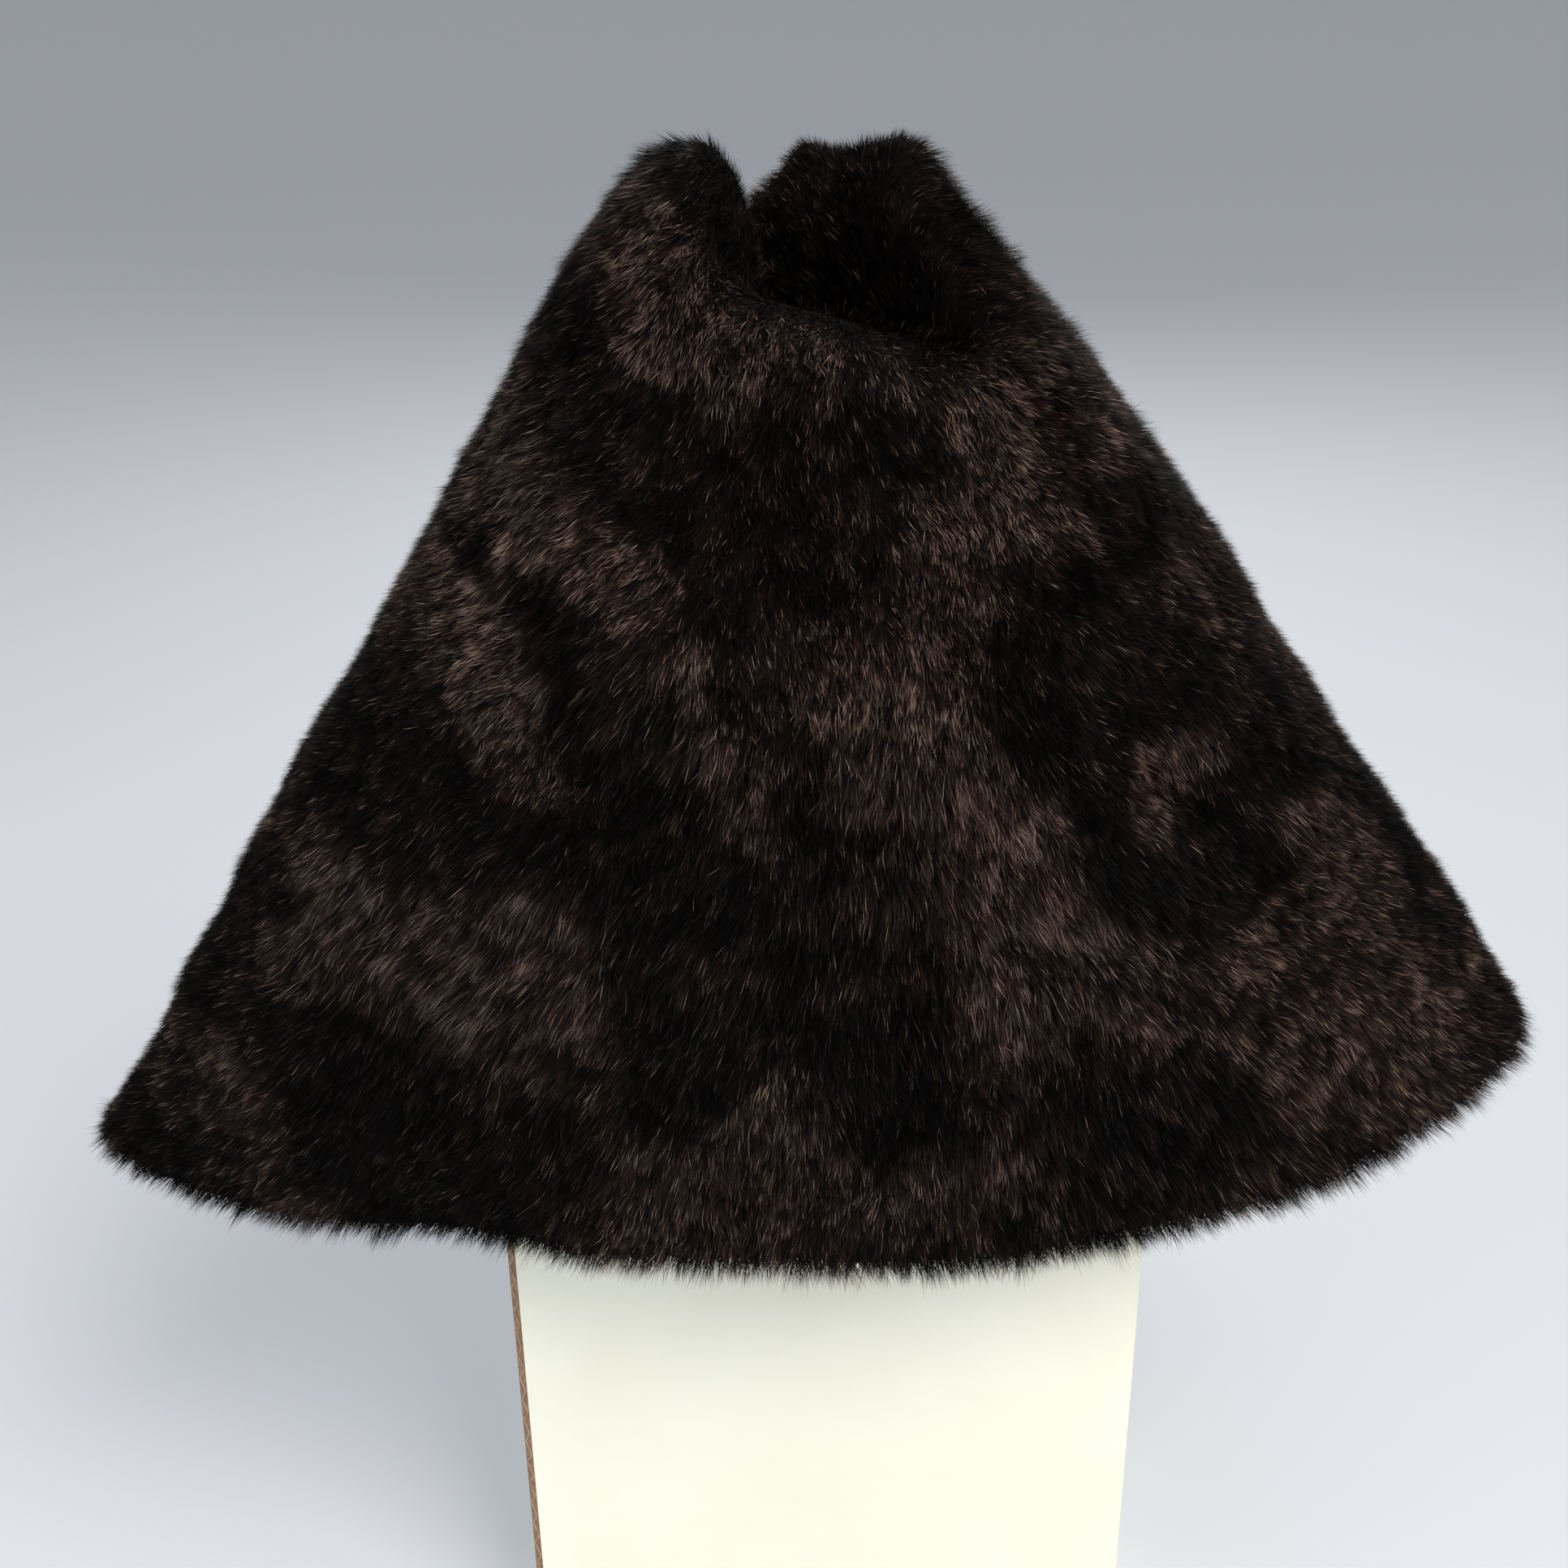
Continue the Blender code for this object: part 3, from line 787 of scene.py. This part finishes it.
def makeFlutes():
    # a strip is extruded up the cut edge along a wave, then thickened
    middle = Vector((boardLow.x + 0.001, boardLow.y + 0.001, 0))
    across = Vector((1, -1, 0)).normalized()
    out = Vector((-1, -1, 0)).normalized()
    shape = bmesh.new()
    rng = np.random.default_rng(51)
    turns = int((boardHigh.z - boardLow.z - 2 * flutes["margin"]) / board["flute"])
    crush = 0.55 + 0.45 * rng.random(turns + 1)
    line = []
    for index in range(turns * flutes["samples"] + 1):
        turn = index / flutes["samples"]
        swing = math.sin(2 * math.pi * turn) * flutes["width"] / 2 * crush[int(turn)]
        height = boardLow.z + flutes["margin"] + turn * board["flute"]
        line.append(shape.verts.new(middle + across * swing - out * 0.0001 + Vector((0, 0, height))))
    edges = [shape.edges.new(pair) for pair in zip(line, line[1:])]
    grown = bmesh.ops.extrude_edge_only(shape, edges=edges)
    moved = [part for part in grown["geom"] if isinstance(part, bmesh.types.BMVert)]
    bmesh.ops.translate(shape, vec=out * flutes["proud"], verts=moved)
    bmesh.ops.recalc_face_normals(shape, faces=shape.faces)
    bmesh.ops.solidify(shape, geom=shape.faces, thickness=flutes["thick"])
    bmesh.ops.recalc_face_normals(shape, faces=shape.faces)
    mesh = bpy.data.meshes.new("board_flutes")
    shape.to_mesh(mesh)
    shape.free()
    material, tree, shader = newMaterial("kraft", Roughness=0.85)
    place = addNode(tree, "ShaderNodeTexCoord")
    fibre = addNode(tree, "ShaderNodeTexNoise", Scale=700.0, Detail=3.0)
    tree.links.new(place.outputs["Object"], fibre.inputs["Vector"])
    shade = addRamp(tree, fibre.outputs["Fac"], ((0.35, board["kraft"]), (0.7, (0.50, 0.34, 0.22))))
    tree.links.new(shade.outputs["Color"], shader.inputs["Base Color"])
    addBump(tree, shader, fibre.outputs["Fac"], 0.3, 0.0003)
    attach(linkPiece("board_flutes", mesh, material), "root")


makeFlutes()
print("board dressed")


# Stage: a pale floor that sweeps up behind, and soft light

stage = {
    "floor": (0.63, 0.65, 0.68),
    "reach": 0.9,
    "sweep": 4.3,
    "rise": 2.2,
    "steps": 24,
    "around": 96,
    "world": 0.47,
}


def makeStage():
    # the floor's profile is spun round into a wide shallow bowl
    shape = bmesh.new()
    profile = [(0.0, 0.0)]
    for index in range(stage["steps"] + 1):
        turn = math.radians(90 * index / stage["steps"])
        out = stage["reach"] + math.sin(turn) * stage["sweep"]
        profile.append((out, stage["rise"] * (1 - math.cos(turn))))
    line = [shape.verts.new((x, 0, z)) for x, z in profile]
    edges = [shape.edges.new(pair) for pair in zip(line, line[1:])]
    bmesh.ops.spin(
        shape, geom=line + edges, cent=(0, 0, 0), axis=(0, 0, 1), angle=2 * math.pi, steps=stage["around"]
    )
    bmesh.ops.remove_doubles(shape, verts=shape.verts, dist=1e-4)
    bmesh.ops.recalc_face_normals(shape, faces=shape.faces)
    if sum(face.normal.z for face in shape.faces) < 0:
        bmesh.ops.reverse_faces(shape, faces=shape.faces)
    mesh = bpy.data.meshes.new("floor")
    shape.to_mesh(mesh)
    shape.free()
    mesh.shade_smooth()
    material, tree, shader = newMaterial("floor", Roughness=0.9, Specular_IOR_Level=0.1)
    shader.inputs["Base Color"].default_value = (*stage["floor"], 1)
    linkPiece("floor", mesh, material)
    world = bpy.data.worlds.new("soft")
    world.use_nodes = True
    world.node_tree.nodes["Background"].inputs["Color"].default_value = (0.93, 0.96, 1.0, 1)
    world.node_tree.nodes["Background"].inputs["Strength"].default_value = stage["world"]
    bpy.context.scene.world = world


lightColumns = ("name", "place", "size", "power", "colour")
lights = (
    ("key", (0.75, -1.05, 1.55), 0.9, 31.0, (1.0, 0.97, 0.93)),
    ("fill", (-1.3, -1.0, 0.7), 1.2, 9.5, (0.93, 0.96, 1.0)),
    ("back", (0.2, 1.4, 1.5), 1.2, 14.0, (1.0, 1.0, 1.0)),
)


def makeLights():
    target = Vector((0, 0, rimLevel + 0.08))
    for row in lights:
        light = dict(zip(lightColumns, row))
        data = bpy.data.lights.new(light["name"], "AREA")
        data.size = light["size"]
        data.energy = light["power"]
        data.color = light["colour"]
        made = bpy.data.objects.new(light["name"], data)
        bpy.context.scene.collection.objects.link(made)
        made.location = light["place"]
        made.rotation_euler = (target - made.location).to_track_quat("-Z", "Y").to_euler()


makeStage()
makeLights()
bpy.context.scene.view_settings.view_transform = "Standard"
print("stage and lights set")
